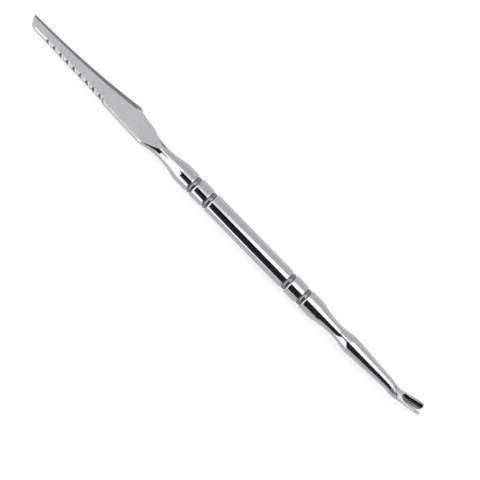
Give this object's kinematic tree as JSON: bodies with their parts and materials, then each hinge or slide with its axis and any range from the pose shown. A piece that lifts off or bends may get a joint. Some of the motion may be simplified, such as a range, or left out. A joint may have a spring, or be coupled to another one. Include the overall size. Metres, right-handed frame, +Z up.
{
  "type": "cuticle pusher",
  "caption": "Slim double-ended steel manicure tool: a flat pushing blade with a fluted edge, a turned grip with bead rings, and a small bent fork.",
  "frame": {"origin": "middle of the grip sleeve, on the tool's axis", "axes": "+X along the tool from the blade towards the fork, +Y towards the blade's sharp back, +Z up as the tool lies on a table, with the blade's fluted face turned 22 degrees from it about the tool's axis"},
  "size_m": [0.1331, 0.0064, 0.0054],
  "materials": {
    "polished_steel": "mirror polish",
    "rod_steel": "as turned"
  },
  "bodies": {
    "root": {"blade_end": "polished_steel", "blade_outer_spacer": "polished_steel", "blade_bead_ring": "polished_steel", "blade_inner_spacer": "polished_steel", "grip_sleeve": "polished_steel", "fork_inner_spacer": "polished_steel", "fork_bead_ring": "polished_steel", "fork_outer_spacer": "polished_steel", "fork_end": "polished_steel", "tie_rod": "rod_steel"}
  },
  "joints": []
}
